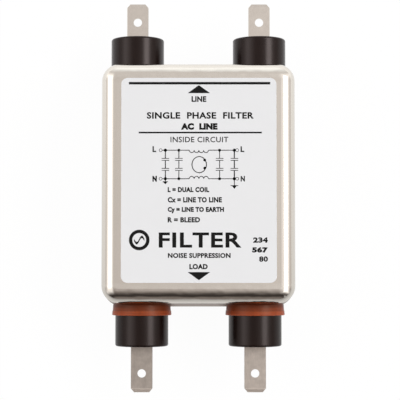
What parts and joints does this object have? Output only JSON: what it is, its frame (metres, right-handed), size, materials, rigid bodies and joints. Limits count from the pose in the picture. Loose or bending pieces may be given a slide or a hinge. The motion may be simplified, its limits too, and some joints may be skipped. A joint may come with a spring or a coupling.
{
  "type": "emi line filter",
  "caption": "Mains line filter in a drawn steel can with quick-connect tabs in insulating bushings at both ends and seal rings at the load end.",
  "frame": {"origin": "centre of the rear cover's outer face, on which the filter lies", "axes": "+Z out of the labelled face, +Y towards the LINE terminals, +X to the right as the label is read"},
  "size_m": [0.0586, 0.115, 0.0327],
  "materials": {
    "can_steel": "satin tin-plated sheet steel",
    "cover_steel": "satin tin-plated sheet steel",
    "nut_steel": "zinc-plated steel",
    "label_film": "white printed polyester film",
    "liner_board": "grey-brown insulating board",
    "board_laminate": "phenolic laminate",
    "core_coating": "coated ferrite",
    "divider_board": "insulating board",
    "winding_copper": "enamelled copper wire",
    "capacitor_box": "filled plastic box",
    "capacitor_disc": "dipped ceramic disc",
    "resistor_coating": "lacquered film resistor",
    "strap_metal": "tinned copper strip",
    "tab_metal": "tin-plated brass",
    "bushing_plastic": "dark brown moulded plastic with a soft gloss",
    "seal_rubber": "red-brown rubber",
    "retainer_plastic": "dark brown moulded plastic"
  },
  "bodies": {
    "root": {"housing_can": "can_steel", "rear_cover": "cover_steel", "mounting_nuts": "nut_steel", "face_label": "label_film", "insulating_liner": "liner_board", "component_board": "board_laminate", "choke_core": "core_coating", "choke_divider": "divider_board", "choke_winding_left": "winding_copper", "choke_winding_right": "winding_copper", "x_capacitor_line": "capacitor_box", "x_capacitor_load": "capacitor_box", "y_capacitor_left": "capacitor_disc", "y_capacitor_right": "capacitor_disc", "bleed_resistor": "resistor_coating", "earth_strap": "strap_metal", "line_tab_left": "tab_metal", "line_bushing_left": "bushing_plastic", "line_retaining_ring_left": "retainer_plastic", "line_tab_right": "tab_metal", "line_bushing_right": "bushing_plastic", "line_retaining_ring_right": "retainer_plastic", "load_tab_left": "tab_metal", "load_bushing_left": "bushing_plastic", "load_retaining_ring_left": "retainer_plastic", "load_seal_ring_left": "seal_rubber", "load_tab_right": "tab_metal", "load_bushing_right": "bushing_plastic", "load_retaining_ring_right": "retainer_plastic", "load_seal_ring_right": "seal_rubber"}
  },
  "joints": []
}
